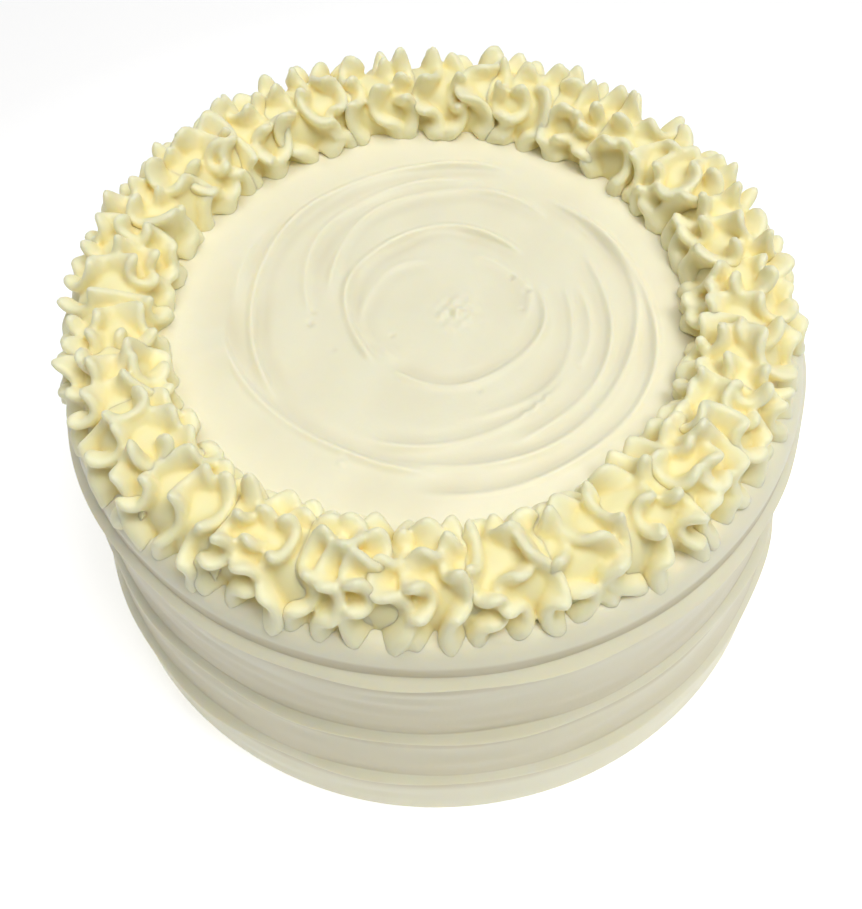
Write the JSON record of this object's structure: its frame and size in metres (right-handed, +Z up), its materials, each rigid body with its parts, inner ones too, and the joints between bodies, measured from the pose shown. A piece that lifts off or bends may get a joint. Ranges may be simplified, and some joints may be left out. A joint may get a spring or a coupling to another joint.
{
  "type": "frosted cake",
  "caption": "Round uncut cake under pale buttercream, with comb ridges round its side, a spatula swirl on top and a wreath of piped ruffles round the top edge.",
  "frame": {"origin": "centre of the flat base, on the surface the cake stands on", "axes": "+Z up along the cake's axis; -Y towards the side shown in front in the picture; +X to the right of it"},
  "size_m": [0.2302, 0.2302, 0.1241],
  "materials": {
    "smooth_buttercream": "soft satin icing, smoothed with a spatula and a comb",
    "piped_buttercream": "soft satin icing, piped in deep ruffles"
  },
  "bodies": {
    "root": {"frosted_cake": "smooth_buttercream", "piped_ruffle_01": "piped_buttercream", "piped_ruffle_02": "piped_buttercream", "piped_ruffle_03": "piped_buttercream", "piped_ruffle_04": "piped_buttercream", "piped_ruffle_05": "piped_buttercream", "piped_ruffle_06": "piped_buttercream", "piped_ruffle_07": "piped_buttercream", "piped_ruffle_08": "piped_buttercream", "piped_ruffle_09": "piped_buttercream", "piped_ruffle_10": "piped_buttercream", "piped_ruffle_11": "piped_buttercream", "piped_ruffle_12": "piped_buttercream", "piped_ruffle_13": "piped_buttercream", "piped_ruffle_14": "piped_buttercream", "piped_ruffle_15": "piped_buttercream", "piped_ruffle_16": "piped_buttercream", "piped_ruffle_17": "piped_buttercream", "piped_ruffle_18": "piped_buttercream", "piped_ruffle_19": "piped_buttercream", "piped_ruffle_20": "piped_buttercream", "piped_ruffle_21": "piped_buttercream", "piped_ruffle_22": "piped_buttercream", "piped_ruffle_23": "piped_buttercream", "piped_ruffle_24": "piped_buttercream", "piped_ruffle_25": "piped_buttercream", "piped_ruffle_26": "piped_buttercream"}
  },
  "joints": []
}
